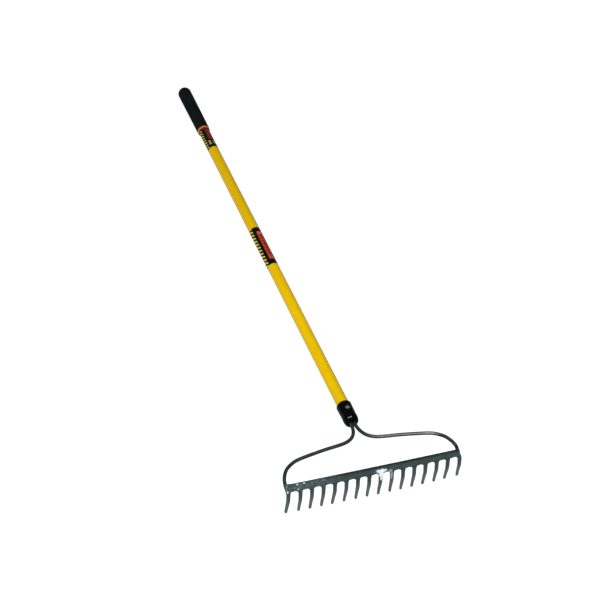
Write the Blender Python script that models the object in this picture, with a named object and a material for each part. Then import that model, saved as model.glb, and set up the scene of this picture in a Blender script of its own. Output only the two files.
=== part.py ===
"""Bow rake: a steel head of sixteen tines, carried by a two-rod bow in a long fibreglass handle.

It is laid out in its own frame: X across the head, Y from the head's bar along the handle, and Z up
from the tines, with the handle's axis on the Y axis. Everything hangs from one empty, which leans the
rake down until the tine tips and the end grip both touch the ground plane, Z = 0.
"""

import math

import bmesh
import bpy
from mathutils import Matrix, Vector

# Driving dimensions, in metres.
FIT_GAP = 0.0003          # clearance between touching pieces

TINE_COUNT = 16
TINE_PITCH = 0.0266
END_TINE_SHIFT = 0.0013   # how much further out each end tine stands
TINE_WIDTH = 0.0082       # at the root
TIP_WIDTH = 0.0062        # just above the rounded end
TIP_DEPTH = -0.0897       # height of the tine tips
TIP_THICKNESS = 0.0048
TIP_ROUND = 0.0034        # length of the rounded end
BAR_THICKNESS = 0.0073
BAR_TOP = 0.0034
BAR_CHAMFER = 0.0011
BAR_END_OVERHANG = 0.0045  # from the end tine's centre to the end of the bar
BAR_END_SLOPE = 0.0052    # how far the bar's ends slope in from root to top
GAP_TOP = -0.0152         # height of the rounded top of each gap
GAP_ARCH = 0.0085         # height of the arch over each gap

ROD_RADIUS = 0.0042
TANG_RADIUS = 0.0031      # the rods are drawn down where they enter the handle
TANG_SPREAD = 0.0064
TANG_END = 0.2330
MOUTH_SPREAD = 0.0046     # half the distance between the rods at the ferrule's mouth
BOW_END_X = 0.2010        # the rods end behind the roots of the end tines
BOW_END_DROP = -0.0206
WELD_HEIGHT = 0.0028      # throat of the fillet weld round each rod's end
WELD_REACH = 0.0009

HANDLE_RADIUS = 0.0147
HANDLE_WALL = 0.0032
HANDLE_START = 0.1572
HANDLE_END = 1.6360

FERRULE_MOUTH = 0.1520
FERRULE_RIM = 0.2140
FERRULE_FLOOR = 0.0042    # thickness of the closed end that the rods pass through
FERRULE_RADIUS = 0.0183
FERRULE_WAIST = 0.0176
RIVET_Y = 0.1900
RIVET_RADIUS = 0.0022
RIVET_HEAD_RADIUS = 0.0050
RIVET_HEAD_HEIGHT = 0.0021

PLUG_START = 0.1715
PLUG_END = 0.2400

GRIP_END = 1.6460
GRIP_RADIUS = 0.0190
GRIP_MOUTH_RADIUS = 0.0179
GRIP_WIDEST = 1.6275      # where the round end begins
COLLAR_RADIUS = 0.0174
COLLAR_LIP = 0.0009        # wall of the collar at its nose
COLLAR_START = 1.4148
COLLAR_END = 1.4247

LABEL_THICKNESS = 0.0002
LOWER_LABEL = (0.7590, 0.9200)
UPPER_LABEL = (1.3178, 1.4145)

ROUND_SIDES = 32
ROD_SIDES_STEP = 3        # bevel resolution of the rods

# The centre line of one tine: (height, distance back from the bar).
TINE_SWEEP = [
    (GAP_TOP, 0.0), (-0.0290, -0.0002), (-0.0420, -0.0010), (-0.0500, 0.0001),
    (-0.0600, 0.0022), (-0.0700, 0.0044), (-0.0800, 0.0063), (TIP_DEPTH, 0.0074),
]

# The centre line of the right-hand rod, from its tang to the head: (x, y, z, radius factor).
TANG_FACTOR = TANG_RADIUS / ROD_RADIUS
BOW_ROUTE = [
    (TANG_SPREAD, TANG_END, 0.0, TANG_FACTOR), (TANG_SPREAD, 0.1900, 0.0, TANG_FACTOR),
    (TANG_SPREAD - 0.0002, 0.1700, 0.0, TANG_FACTOR), (MOUTH_SPREAD, 0.1540, 0.0, 1.0),
    (0.0052, 0.1390, 0.0, 1.0), (0.0091, 0.1225, 0.0, 1.0), (0.0175, 0.1085, 0.0, 1.0),
    (0.0300, 0.0992, 0.0, 1.0), (0.0470, 0.0938, 0.0, 1.0), (0.0900, 0.0876, 0.0, 1.0),
    (0.1420, 0.0775, 0.0, 1.0), (0.1620, 0.0717, 0.0, 1.0), (0.1722, 0.0660, -0.0001, 1.0),
    (0.1804, 0.0605, -0.0007, 1.0), (0.1884, 0.0535, -0.0020, 1.0),
    (0.1954, 0.0435, -0.0043, 1.0), (0.1998, 0.0335, -0.0060, 1.0),
    (0.2022, 0.0245, -0.0087, 1.0), (0.2025, 0.0177, -0.0134, 1.0),
    (0.2020, 0.0126, -0.0179, 1.0), (0.2013, 0.0097, -0.0198, 1.0),
    (BOW_END_X, 0.0070, BOW_END_DROP, 1.0), (BOW_END_X, 0.0055, BOW_END_DROP, 1.0),
    (BOW_END_X, BAR_THICKNESS / 2 + FIT_GAP, BOW_END_DROP, 1.0),
]


def clear_scene():
    for old in list(bpy.data.objects):
        bpy.data.objects.remove(old)


def make_material(name, colour, roughness, metallic):
    material = bpy.data.materials.new(name)
    material.use_nodes = True
    material.diffuse_color = (*colour, 1.0)
    shader = material.node_tree.nodes["Principled BSDF"]
    shader.inputs["Base Color"].default_value = (*colour, 1.0)
    shader.inputs["Roughness"].default_value = roughness
    shader.inputs["Metallic"].default_value = metallic
    return material


def add_object(name, data, material, stance):
    data.materials.append(material)
    piece = bpy.data.objects.new(name, data)
    bpy.context.scene.collection.objects.link(piece)
    piece.parent = stance
    return piece


def finish_mesh(name, bm, sharp_angle=40.0):
    bmesh.ops.remove_doubles(bm, verts=bm.verts, dist=1e-6)
    bmesh.ops.recalc_face_normals(bm, faces=bm.faces)
    mesh = bpy.data.meshes.new(name)
    bm.to_mesh(mesh)
    bm.free()
    mesh.shade_smooth()
    mesh.set_sharp_from_angle(angle=math.radians(sharp_angle))
    return mesh


def turned_mesh(name, profile, closed, sides=ROUND_SIDES):
    """A solid turned about the Y axis. profile holds (y, radius) points; a closed one is a ring."""
    bm = bmesh.new()
    points = [bm.verts.new((radius, y, 0.0)) for y, radius in profile]
    pairs = list(zip(points, points[1:]))
    if closed:
        pairs.append((points[-1], points[0]))
    edges = [bm.edges.new(pair) for pair in pairs]
    bmesh.ops.spin(
        bm, geom=points + edges, cent=(0, 0, 0), axis=(0, 1, 0), dvec=(0, 0, 0),
        angle=math.tau, steps=sides, use_duplicate=False,
    )
    return finish_mesh(name, bm)


def subtract(piece, cutter):
    cutter.parent = piece.parent
    cutter.hide_render = True
    cutter.display_type = "WIRE"
    cut = piece.modifiers.new("cut_" + cutter.name, "BOOLEAN")
    cut.operation = "DIFFERENCE"
    cut.solver = "EXACT"
    cut.object = cutter


def cylinder_cutter(name, radius, start, end, sides=20):
    """A cylinder between two points, used only to cut."""
    start, end = Vector(start), Vector(end)
    bm = bmesh.new()
    turn = (end - start).to_track_quat("Z", "Y").to_matrix().to_4x4()
    place = Matrix.Translation((start + end) / 2) @ turn
    bmesh.ops.create_cone(
        bm, cap_ends=True, segments=sides, radius1=radius, radius2=radius,
        depth=(end - start).length, matrix=place,
    )
    mesh = bpy.data.meshes.new(name)
    bm.to_mesh(mesh)
    bm.free()
    cutter = bpy.data.objects.new(name, mesh)
    bpy.context.scene.collection.objects.link(cutter)
    return cutter


def tine_centre(z):
    """How far back the tine's centre line stands at height z."""
    if z >= TINE_SWEEP[0][0]:
        return TINE_SWEEP[0][1]
    for (z_high, y_high), (z_low, y_low) in zip(TINE_SWEEP, TINE_SWEEP[1:]):
        if z >= z_low:
            return y_high + (y_low - y_high) * (z_high - z) / (z_high - z_low)
    return TINE_SWEEP[-1][1]


def tine_rows():
    """Rows of one tine from the top of the bar down: (z, half width or None in the bar, half
    thickness, thickness factor at the side edge)."""
    half_bar = BAR_THICKNESS / 2
    rows = [
        (BAR_TOP, None, half_bar - BAR_CHAMFER, 1.0),
        (BAR_TOP - BAR_CHAMFER, None, half_bar, 1.0),
        ((BAR_TOP + GAP_TOP) / 2, None, half_bar, 1.0),
        (GAP_TOP, None, half_bar, 0.92),
    ]
    reach = (TINE_PITCH - TINE_WIDTH) / 2
    for angle in (22.0, 42.0, 62.0, 90.0):
        turn = math.radians(angle)
        half_width = TINE_PITCH / 2 - reach * math.sin(turn) ** 0.8
        depth = GAP_ARCH * (1.0 - math.cos(turn))
        rows.append((GAP_TOP - depth, half_width, half_bar, 0.84))
    root = rows[-1][0]
    shaft_end = TIP_DEPTH + TIP_ROUND
    levels = [-0.0320, -0.0420, -0.0480, -0.0560, -0.0660, -0.0760, shaft_end]
    for z in levels:
        share = (root - z) / (root - shaft_end)
        width = TINE_WIDTH + (TIP_WIDTH - TINE_WIDTH) * share ** 1.5
        thickness = BAR_THICKNESS + (TIP_THICKNESS - BAR_THICKNESS) * share
        rows.append((z, width / 2, thickness / 2, 0.80 - 0.20 * share))
    for share in (0.6, 0.93):
        round_off = math.sqrt(1.0 - share ** 2)
        z = shaft_end - TIP_ROUND * share
        rows.append((z, TIP_WIDTH / 2 * round_off, TIP_THICKNESS / 2 * round_off, 0.6))
    return rows


def tine_x(index):
    """Where a tine's centre stands across the head."""
    shift = {0: -END_TINE_SHIFT, TINE_COUNT - 1: END_TINE_SHIFT}.get(index, 0.0)
    return (index - (TINE_COUNT - 1) / 2) * TINE_PITCH + shift


def end_inset(z):
    """How far the head's end slopes in at height z, from the end tine's root up to the bar's top."""
    root = GAP_TOP - GAP_ARCH
    share = max(0.0, (z - root) / (BAR_TOP - root))
    return BAR_END_SLOPE * share ** 0.8


def tine_columns(index, z, half_width):
    """X of the tine's side edge, shoulder, shoulder and side edge."""
    centre = tine_x(index)
    if half_width is None:
        left = (tine_x(index - 1) + centre) / 2
        right = (tine_x(index + 1) + centre) / 2
    else:
        left, right = centre - half_width, centre + half_width
    if index == 0:
        left = max(left, centre - BAR_END_OVERHANG + end_inset(z))
    if index == TINE_COUNT - 1:
        right = min(right, centre + BAR_END_OVERHANG - end_inset(z))
    shoulder = (right - left) * 0.19
    return [left, left + shoulder, right - shoulder, right]


def head_mesh():
    bm = bmesh.new()
    rows = tine_rows()
    gap_row = next(i for i, row in enumerate(rows) if row[1] is not None) - 1
    for index in range(TINE_COUNT):
        front, back = [], []
        for z, half_width, half_thick, edge_factor in rows:
            centre = tine_centre(z)
            factors = (edge_factor, 1.0, 1.0, edge_factor)
            columns = list(zip(tine_columns(index, z, half_width), factors))
            front.append([bm.verts.new((x, centre - half_thick * f, z)) for x, f in columns])
            back.append([bm.verts.new((x, centre + half_thick * f, z)) for x, f in columns])
        for upper in range(len(rows) - 1):
            lower = upper + 1
            for c in range(3):
                for side in (front, back):
                    bm.faces.new((side[upper][c], side[upper][c + 1],
                                  side[lower][c + 1], side[lower][c]))
            for c, is_open in ((0, index == 0), (3, index == TINE_COUNT - 1)):
                if upper >= gap_row or is_open:
                    bm.faces.new((front[upper][c], back[upper][c],
                                  back[lower][c], front[lower][c]))
        for c in range(3):
            for level in (0, -1):
                bm.faces.new((front[level][c], front[level][c + 1],
                              back[level][c + 1], back[level][c]))
    return finish_mesh("rake_head", bm, sharp_angle=50.0)


def bow_curve(name, side):
    curve = bpy.data.curves.new(name, "CURVE")
    curve.dimensions = "3D"
    curve.resolution_u = 3
    curve.bevel_depth = ROD_RADIUS
    curve.bevel_resolution = ROD_SIDES_STEP
    curve.use_fill_caps = True
    spline = curve.splines.new("BEZIER")
    spline.bezier_points.add(len(BOW_ROUTE) - 1)
    for point, (x, y, z, factor) in zip(spline.bezier_points, BOW_ROUTE):
        point.co = (side * x, y, z)
        point.radius = factor
        point.handle_left_type = point.handle_right_type = "AUTO"
    return curve


def weld_bead(name, side, material, stance):
    """A fillet weld round the rod where it meets the back of the head."""
    inner = ROD_RADIUS + FIT_GAP
    base = BAR_THICKNESS / 2 + FIT_GAP
    profile = [
        (base, inner), (base + WELD_HEIGHT, inner),
        (base + WELD_HEIGHT * 0.55, inner + WELD_REACH * 0.65), (base, inner + WELD_REACH),
    ]
    bead = add_object(name, turned_mesh(name, profile, True, 24), material, stance)
    bead.location = (side * BOW_END_X, 0.0, BOW_END_DROP)
    return bead


def ferrule_mesh():
    bore = HANDLE_RADIUS + FIT_GAP
    floor = FERRULE_MOUTH + FERRULE_FLOOR
    profile = [
        (FERRULE_RIM, bore), (FERRULE_RIM, FERRULE_RADIUS - 0.0010),
        (FERRULE_RIM - 0.0010, FERRULE_RADIUS - 0.0002), (FERRULE_RIM - 0.0030, FERRULE_RADIUS),
        (0.2000, FERRULE_RADIUS - 0.0002), (0.1900, 0.0178), (0.1800, FERRULE_WAIST),
        (0.1690, FERRULE_WAIST + 0.0003), (0.1615, FERRULE_WAIST - 0.0003), (0.1570, 0.0157),
        (0.1538, 0.0132), (FERRULE_MOUTH, 0.0105), (FERRULE_MOUTH, 0.0),
        (floor, 0.0), (floor, bore - 0.0008), (floor + 0.0008, bore),
    ]
    return turned_mesh("ferrule", profile, True)


def mouth_cutter():
    """The oval slot in the ferrule's end that both rods pass through."""
    bm = bmesh.new()
    half_turn = [math.pi * i / 10 - math.pi / 2 for i in range(11)]
    radius = ROD_RADIUS + FIT_GAP
    outline = [(MOUTH_SPREAD + radius * math.cos(a), radius * math.sin(a)) for a in half_turn]
    outline += [(-x, -z) for x, z in outline]
    low, high = FERRULE_MOUTH - 0.004, FERRULE_MOUTH + FERRULE_FLOOR + 0.002
    rings = [[bm.verts.new((x, y, z)) for x, z in outline] for y in (low, high)]
    bm.faces.new(rings[0])
    bm.faces.new(reversed(rings[1]))
    count = len(outline)
    for i in range(count):
        j = (i + 1) % count
        bm.faces.new((rings[0][j], rings[0][i], rings[1][i], rings[1][j]))
    cutter = bpy.data.objects.new("mouth_cutter", finish_mesh("mouth_cutter", bm))
    bpy.context.scene.collection.objects.link(cutter)
    return cutter


def rivet_hole(name):
    reach = FERRULE_RADIUS + 0.005
    return cylinder_cutter(
        name, RIVET_RADIUS + FIT_GAP, (0, RIVET_Y, -reach), (0, RIVET_Y, reach),
    )


def tube_mesh():
    outer, inner = HANDLE_RADIUS, HANDLE_RADIUS - HANDLE_WALL
    ends = (HANDLE_START, HANDLE_END)
    profile = [(ends[0], inner), (ends[0], outer), (ends[1], outer), (ends[1], inner)]
    return turned_mesh("handle_tube", profile, True)


def plug_mesh():
    radius = HANDLE_RADIUS - HANDLE_WALL - FIT_GAP
    profile = [
        (PLUG_START, 0.0), (PLUG_START, radius - 0.001), (PLUG_START + 0.001, radius),
        (PLUG_END - 0.001, radius), (PLUG_END, radius - 0.001), (PLUG_END, 0.0),
    ]
    return turned_mesh("tang_plug", profile, False)


def rivet_mesh():
    """The rivet is turned about its own axis, with a head at each end."""
    seat = FERRULE_RADIUS + FIT_GAP
    head = [
        (seat, RIVET_HEAD_RADIUS), (seat + RIVET_HEAD_HEIGHT * 0.45, RIVET_HEAD_RADIUS * 0.93),
        (seat + RIVET_HEAD_HEIGHT * 0.85, RIVET_HEAD_RADIUS * 0.60),
        (seat + RIVET_HEAD_HEIGHT, 0.0),
    ]
    upper = [(seat, RIVET_RADIUS)] + head
    lower = [(-y, radius) for y, radius in reversed(upper)]
    return turned_mesh("ferrule_rivet", lower + upper, False, 20)


def grip_mesh():
    bore = HANDLE_RADIUS + FIT_GAP
    start = COLLAR_END + FIT_GAP
    floor = HANDLE_END + FIT_GAP
    dome = []
    for angle in (0.0, 30.0, 55.0, 75.0):
        turn = math.radians(angle)
        y = GRIP_WIDEST + (GRIP_END - GRIP_WIDEST) * math.sin(turn)
        dome.append((y, GRIP_RADIUS * math.cos(turn) ** 0.62))
    profile = [
        (floor, 0.0), (floor, bore), (start, bore), (start, GRIP_MOUTH_RADIUS - 0.0008),
        (start + 0.0012, GRIP_MOUTH_RADIUS), (1.4900, 0.0181), (1.5600, 0.0187),
    ]
    return turned_mesh("end_grip", profile + dome + [(GRIP_END, 0.0)], False)


def collar_mesh():
    bore = HANDLE_RADIUS + FIT_GAP
    profile = [
        (COLLAR_START, bore), (COLLAR_START, bore + COLLAR_LIP - 0.0003),
        (COLLAR_START + 0.0003, bore + COLLAR_LIP), (COLLAR_START + 0.0022, 0.0164),
        (COLLAR_START + 0.0048, COLLAR_RADIUS - 0.0003), (COLLAR_START + 0.0066, COLLAR_RADIUS),
        (COLLAR_END - 0.0004, COLLAR_RADIUS), (COLLAR_END, COLLAR_RADIUS - 0.0004),
        (COLLAR_END, bore),
    ]
    return turned_mesh("grip_collar", profile, True)


def label_mesh(name, ends):
    inner = HANDLE_RADIUS + FIT_GAP
    outer = inner + LABEL_THICKNESS
    profile = [(ends[0], inner), (ends[0], outer), (ends[1], outer), (ends[1], inner)]
    return turned_mesh(name, profile, True)


def stand_on_ground(stance):
    """Leans the rake until tips and grip are level, then centres its box over the origin."""
    drop = -TIP_DEPTH - GRIP_RADIUS
    lean = math.atan2(drop, GRIP_WIDEST - TINE_SWEEP[-1][1])
    stance.rotation_euler = (-lean, 0.0, 0.0)
    bpy.context.view_layer.update()
    graph = bpy.context.evaluated_depsgraph_get()
    corners = []
    for piece in stance.children:
        if piece.hide_render:
            continue
        evaluated = piece.evaluated_get(graph)
        mesh = evaluated.to_mesh()
        corners += [piece.matrix_world @ vertex.co for vertex in mesh.vertices]
        evaluated.to_mesh_clear()
    ahead = (min(c.y for c in corners) + max(c.y for c in corners)) / 2
    stance.location = (0.0, -ahead, -min(c.z for c in corners))


def build():
    clear_scene()
    stance = bpy.data.objects.new("rake_stance", None)
    bpy.context.scene.collection.objects.link(stance)

    steel = make_material("forged_steel", (0.055, 0.095, 0.095), 0.35, 0.6)
    add_object("rake_head", head_mesh(), steel, stance)
    for label, side in (("left", -1), ("right", 1)):
        rod = make_material("bow_rod_" + label, (0.030, 0.052, 0.052), 0.32, 0.6)
        add_object("bow_arm_" + label, bow_curve("bow_arm_" + label, side), rod, stance)
        weld = make_material("weld_" + label, (0.08, 0.12, 0.12), 0.45, 0.6)
        weld_bead("weld_bead_" + label, side, weld, stance)

    black = make_material("ferrule_black", (0.006, 0.008, 0.009), 0.25, 0.0)
    ferrule = add_object("ferrule", ferrule_mesh(), black, stance)
    subtract(ferrule, mouth_cutter())
    subtract(ferrule, rivet_hole("ferrule_hole_cutter"))

    zinc = make_material("rivet_zinc", (0.18, 0.24, 0.21), 0.4, 0.7)
    rivet = add_object("ferrule_rivet", rivet_mesh(), zinc, stance)
    rivet.location = (0.0, RIVET_Y, 0.0)
    rivet.rotation_euler = (math.radians(90.0), 0.0, 0.0)

    yellow = make_material("yellow_fibreglass", (0.78, 0.47, 0.002), 0.3, 0.0)
    tube = add_object("handle_tube", tube_mesh(), yellow, stance)
    subtract(tube, rivet_hole("tube_hole_cutter"))

    nylon = make_material("plug_nylon", (0.55, 0.53, 0.47), 0.6, 0.0)
    plug = add_object("tang_plug", plug_mesh(), nylon, stance)
    subtract(plug, rivet_hole("plug_hole_cutter"))
    for label, side in (("left", -1), ("right", 1)):
        bore = cylinder_cutter(
            "plug_bore_" + label, TANG_RADIUS + FIT_GAP,
            (side * TANG_SPREAD, PLUG_START - 0.005, 0), (side * TANG_SPREAD, PLUG_END + 0.005, 0),
        )
        subtract(plug, bore)

    rubber = make_material("grip_rubber", (0.006, 0.009, 0.010), 0.8, 0.0)
    add_object("end_grip", grip_mesh(), rubber, stance)
    orange = make_material("collar_orange", (0.55, 0.09, 0.02), 0.45, 0.0)
    add_object("grip_collar", collar_mesh(), orange, stance)
    for name, ends in (("lower_label", LOWER_LABEL), ("upper_label", UPPER_LABEL)):
        film = make_material(name + "_film", (0.30, 0.05, 0.02), 0.35, 0.0)
        add_object(name, label_mesh(name, ends), film, stance)

    stand_on_ground(stance)


build()
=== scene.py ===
"""Finished look of the bow rake: forged and coated steel, printed film, fibreglass and foam.

Every piece is modelled in the rake's own layout (X across the head, Y from the head's bar along the
handle, Z up from the tines, the handle's axis on Y) and is then set down with one matrix, which is
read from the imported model. Lengths are in metres and repeat the solids' own.
"""

import math
import random

import bmesh
import bpy
from mathutils import Matrix, Vector, noise
from mathutils.geometry import interpolate_bezier


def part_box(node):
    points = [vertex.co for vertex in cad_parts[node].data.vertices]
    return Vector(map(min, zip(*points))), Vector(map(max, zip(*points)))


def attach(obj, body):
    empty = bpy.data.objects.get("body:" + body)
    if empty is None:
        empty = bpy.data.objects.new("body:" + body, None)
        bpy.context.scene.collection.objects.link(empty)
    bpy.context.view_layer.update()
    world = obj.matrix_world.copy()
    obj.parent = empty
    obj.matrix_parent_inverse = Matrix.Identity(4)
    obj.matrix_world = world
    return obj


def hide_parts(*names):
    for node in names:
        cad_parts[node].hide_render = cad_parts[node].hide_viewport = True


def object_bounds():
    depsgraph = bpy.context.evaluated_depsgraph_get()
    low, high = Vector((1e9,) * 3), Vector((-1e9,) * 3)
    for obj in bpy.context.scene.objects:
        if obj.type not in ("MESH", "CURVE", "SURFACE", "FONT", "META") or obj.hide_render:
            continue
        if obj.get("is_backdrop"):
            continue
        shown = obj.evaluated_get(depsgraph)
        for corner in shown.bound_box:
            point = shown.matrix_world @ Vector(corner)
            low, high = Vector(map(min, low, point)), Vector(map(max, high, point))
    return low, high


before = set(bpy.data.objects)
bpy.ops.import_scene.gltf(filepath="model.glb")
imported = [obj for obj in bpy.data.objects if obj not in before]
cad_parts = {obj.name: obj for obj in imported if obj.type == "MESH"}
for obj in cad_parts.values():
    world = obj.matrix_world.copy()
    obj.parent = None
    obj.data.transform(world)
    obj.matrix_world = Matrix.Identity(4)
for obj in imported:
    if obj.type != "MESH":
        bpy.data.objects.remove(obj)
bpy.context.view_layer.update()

# The head.
TINE_COUNT = 16
TINE_PITCH = 0.0266
END_TINE_SHIFT = 0.0013
TINE_WIDTH = 0.0082
TIP_WIDTH = 0.0062
TIP_DEPTH = -0.0897
TIP_THICKNESS = 0.0048
TIP_ROUND = 0.0034
BAR_THICKNESS = 0.0073
BAR_TOP = 0.0034
BAR_CHAMFER = 0.0011
BAR_END_OVERHANG = 0.0045
BAR_END_SLOPE = 0.0052
GAP_TOP = -0.0152
GAP_ARCH = 0.0085
TINE_SWEEP = [
    (GAP_TOP, 0.0), (-0.0290, -0.0002), (-0.0420, -0.0010), (-0.0500, 0.0001),
    (-0.0600, 0.0022), (-0.0700, 0.0044), (-0.0800, 0.0063), (TIP_DEPTH, 0.0074),
]

# The bow.
ROD_RADIUS = 0.0042
TANG_RADIUS = 0.0031
TANG_SPREAD = 0.0064
TANG_END = 0.2330
MOUTH_SPREAD = 0.0046
BOW_END_X = 0.2010
BOW_END_DROP = -0.0206
BOW_ROUTE = [
    (TANG_SPREAD, TANG_END, 0.0), (TANG_SPREAD, 0.1900, 0.0), (TANG_SPREAD - 0.0002, 0.1700, 0.0),
    (MOUTH_SPREAD, 0.1540, 0.0), (0.0052, 0.1390, 0.0), (0.0091, 0.1225, 0.0),
    (0.0175, 0.1085, 0.0), (0.0300, 0.0992, 0.0), (0.0470, 0.0938, 0.0), (0.0900, 0.0876, 0.0),
    (0.1420, 0.0775, 0.0), (0.1620, 0.0717, 0.0), (0.1722, 0.0660, -0.0001),
    (0.1804, 0.0605, -0.0007), (0.1884, 0.0535, -0.0020), (0.1954, 0.0435, -0.0043),
    (0.1998, 0.0335, -0.0060), (0.2022, 0.0245, -0.0087), (0.2025, 0.0177, -0.0134),
    (0.2020, 0.0126, -0.0179), (0.2013, 0.0097, -0.0198), (BOW_END_X, 0.0070, BOW_END_DROP),
    (BOW_END_X, 0.0055, BOW_END_DROP), (BOW_END_X, BAR_THICKNESS / 2, BOW_END_DROP),
]

# The handle and what is on it.
HANDLE_RADIUS = 0.0147
HANDLE_WALL = 0.0032
HANDLE_START = 0.1572
HANDLE_END = 1.6360
PLUG_MIDDLE = 0.20575
FERRULE_RIM = 0.2140
FERRULE_RADIUS = 0.0183
FERRULE_WAIST = 0.0176
# Two painted highlights on the ferrule's shoulder: x, y, z in metres.
FERRULE_GLINTS = [(-0.0076, 0.1590, 0.0144), (-0.0030, 0.1588, 0.0161)]
RIVET_Y = 0.1900
RIVET_HEAD_RADIUS = 0.0050
RIVET_HEAD_HEIGHT = 0.0021
GRIP_END = 1.6460
GRIP_RADIUS = 0.0190
GRIP_MOUTH_RADIUS = 0.0179
GRIP_WIDEST = 1.6275
COLLAR_RADIUS = 0.0174
COLLAR_START = 1.4148
COLLAR_END = 1.4247
LOWER_LABEL = (0.7590, 0.9200)
UPPER_LABEL = (1.3178, 1.4145)

ROUND_SIDES = 96
ROD_SIDES = 48
# Edges of turned pieces that bend by more degrees than this are drawn sharp.
TURNED_SHARP_ANGLE = 50.0


def unit(value):
    """The value, held between 0 and 1."""
    return min(max(value, 0.0), 1.0)


# ---------------------------------------------------------------- placing

def middle_of(node):
    low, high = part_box(node)
    return (Vector(low) + Vector(high)) / 2


def stance_matrix():
    """The matrix that sets the rake down, from two nodes whose middles lie on the handle's axis."""
    near, far = middle_of("tang_plug"), middle_of("upper_label")
    along = (far - near).normalized()
    lean = math.atan2(-along.z, along.y)
    start = near - along * PLUG_MIDDLE
    return Matrix.Translation(start) @ Matrix.Rotation(-lean, 4, "X")


STANCE = stance_matrix()
LAYOUT = STANCE.inverted()


def place(name, mesh, materials, node):
    """Sets a finished piece down in the stance. It stands for a CAD node, which it hides, and takes
    the given materials.
    """
    mesh.transform(STANCE)
    for material in materials:
        mesh.materials.append(material)
    piece = bpy.data.objects.new(name, mesh)
    bpy.context.scene.collection.objects.link(piece)
    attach(piece, "root")
    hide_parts(node)
    return piece


def subdivide(piece, levels):
    smooth = piece.modifiers.new("smooth", "SUBSURF")
    smooth.levels = smooth.render_levels = levels


def mesh_from(name, bm, sharp_angle=None):
    bmesh.ops.remove_doubles(bm, verts=bm.verts, dist=1e-6)
    bmesh.ops.recalc_face_normals(bm, faces=bm.faces)
    mesh = bpy.data.meshes.new(name)
    bm.to_mesh(mesh)
    bm.free()
    mesh.shade_smooth()
    if sharp_angle:
        mesh.set_sharp_from_angle(angle=math.radians(sharp_angle))
    return mesh


def rings_to_mesh(bm, rings, closed_ends=True):
    """Joins rings of vertices, each with the same count, into a skin."""
    for low, high in zip(rings, rings[1:]):
        count = len(low)
        for i in range(count):
            j = (i + 1) % count
            bm.faces.new((low[i], low[j], high[j], high[i]))
    if closed_ends:
        bm.faces.new(list(reversed(rings[0])))
        bm.faces.new(rings[-1])


def turned(name, profile, closed=False):
    """A surface turned about the handle's axis from (y, radius) points."""
    bm = bmesh.new()
    rings = []
    for y, radius in profile:
        ring = []
        for i in range(ROUND_SIDES):
            angle = math.tau * i / ROUND_SIDES
            ring.append(bm.verts.new((radius * math.sin(angle), y, radius * math.cos(angle))))
        rings.append(ring)
    if closed:
        rings.append(rings[0])
    rings_to_mesh(bm, rings, closed_ends=False)
    return mesh_from(name, bm, TURNED_SHARP_ANGLE)


# ---------------------------------------------------------------- materials

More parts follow.
